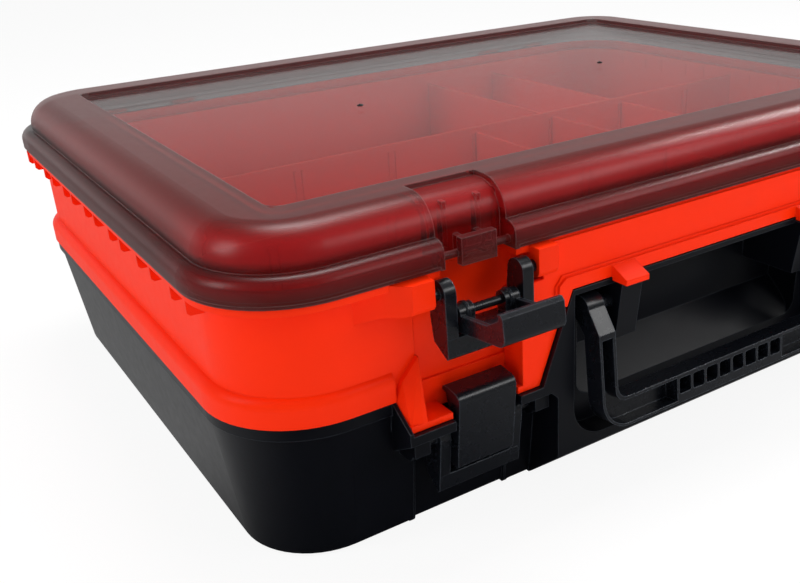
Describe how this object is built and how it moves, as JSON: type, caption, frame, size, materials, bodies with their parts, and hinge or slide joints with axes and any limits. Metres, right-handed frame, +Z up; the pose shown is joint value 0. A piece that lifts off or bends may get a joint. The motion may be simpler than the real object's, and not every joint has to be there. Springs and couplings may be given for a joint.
{
  "type": "fishing tackle cabinet",
  "caption": "Two-stage tackle case: deep black tub, red compartment tray on top, smoke lid, draw latches with levers and hooks, latticed folding handle",
  "frame": {"origin": "centre of the tub's underside, on the ground", "axes": "+X right along the front, +Y to the hinges at the back, +Z up; the front with latches and handle faces -Y"},
  "size_m": [0.476, 0.3989, 0.15],
  "materials": {
    "tub_black": "satin moulded polymer",
    "tray_red": "bright red-orange moulded polymer",
    "lid_smoke": "smoke translucent, polished window and satin frame",
    "divider_red": "moulded polymer",
    "latch_black": "satin moulded polymer",
    "steel": "drawn wire"
  },
  "bodies": {
    "tub": {"base_tub": "tub_black", "tray_hinge_pin_left": "steel", "tray_hinge_pin_right": "steel"},
    "tray": {"tray_body": "tray_red", "lid_hinge_pin_left": "steel", "lid_hinge_pin_right": "steel", "divider_1": "divider_red", "divider_2": "divider_red", "divider_3": "divider_red", "divider_4": "divider_red", "divider_5": "divider_red", "divider_6": "divider_red"},
    "lid": {"lid_shell": "lid_smoke"},
    "handle": {"carry_handle": "latch_black"},
    "upper_lever_left_body": {"upper_lever_left": "latch_black"},
    "upper_hook_left_body": {"upper_hook_left": "latch_black"},
    "lower_lever_left_body": {"lower_lever_left": "latch_black"},
    "lower_hook_left_body": {"lower_hook_left": "latch_black"},
    "upper_lever_right_body": {"upper_lever_right": "latch_black"},
    "upper_hook_right_body": {"upper_hook_right": "latch_black"},
    "lower_lever_right_body": {"lower_lever_right": "latch_black"},
    "lower_hook_right_body": {"lower_hook_right": "latch_black"}
  },
  "joints": [
    {"name": "tray_hinge", "type": "hinge", "parent": "tub", "child": "tray", "pos_m": [0, 0.1784, 0.06815], "axis": [-1, 0, 0], "range_deg": [0, 95]},
    {"name": "lid_hinge", "type": "hinge", "parent": "tray", "child": "lid", "pos_m": [0, 0.1824, 0.125], "axis": [-1, 0, 0], "range_deg": [0, 95]},
    {"name": "handle_swing", "type": "hinge", "parent": "tub", "child": "handle", "pos_m": [0, -0.176, 0.087], "axis": [-1, 0, 0], "range_deg": [0, 84]},
    {"name": "upper_lever_left_pivot", "type": "hinge", "parent": "tray", "child": "upper_lever_left_body", "pos_m": [-0.1325, -0.1782, 0.1148], "axis": [-1, 0, 0], "range_deg": [0, 90]},
    {"name": "upper_hook_left_pivot", "type": "hinge", "parent": "upper_lever_left_body", "child": "upper_hook_left_body", "pos_m": [-0.1325, -0.1797, 0.1053], "axis": [1, 0, 0], "range_deg": [-82, 12]},
    {"name": "lower_lever_left_pivot", "type": "hinge", "parent": "tub", "child": "lower_lever_left_body", "pos_m": [-0.1325, -0.169, 0.0465], "axis": [-1, 0, 0], "range_deg": [0, 90]},
    {"name": "lower_hook_left_pivot", "type": "hinge", "parent": "lower_lever_left_body", "child": "lower_hook_left_body", "pos_m": [-0.1325, -0.16916, 0.03688], "axis": [1, 0, 0], "range_deg": [-6, 100]},
    {"name": "upper_lever_right_pivot", "type": "hinge", "parent": "tray", "child": "upper_lever_right_body", "pos_m": [0.1325, -0.1782, 0.1148], "axis": [-1, 0, 0], "range_deg": [0, 90]},
    {"name": "upper_hook_right_pivot", "type": "hinge", "parent": "upper_lever_right_body", "child": "upper_hook_right_body", "pos_m": [0.1325, -0.1797, 0.1053], "axis": [1, 0, 0], "range_deg": [-82, 12]},
    {"name": "lower_lever_right_pivot", "type": "hinge", "parent": "tub", "child": "lower_lever_right_body", "pos_m": [0.1325, -0.169, 0.0465], "axis": [-1, 0, 0], "range_deg": [0, 90]},
    {"name": "lower_hook_right_pivot", "type": "hinge", "parent": "lower_lever_right_body", "child": "lower_hook_right_body", "pos_m": [0.1325, -0.16916, 0.03688], "axis": [1, 0, 0], "range_deg": [-6, 100]}
  ],
  "couplings": [
    {"joint": "lower_hook_left_pivot", "follows": "lower_lever_left_pivot", "ratio": 1},
    {"joint": "lower_hook_right_pivot", "follows": "lower_lever_right_pivot", "ratio": 1}
  ]
}
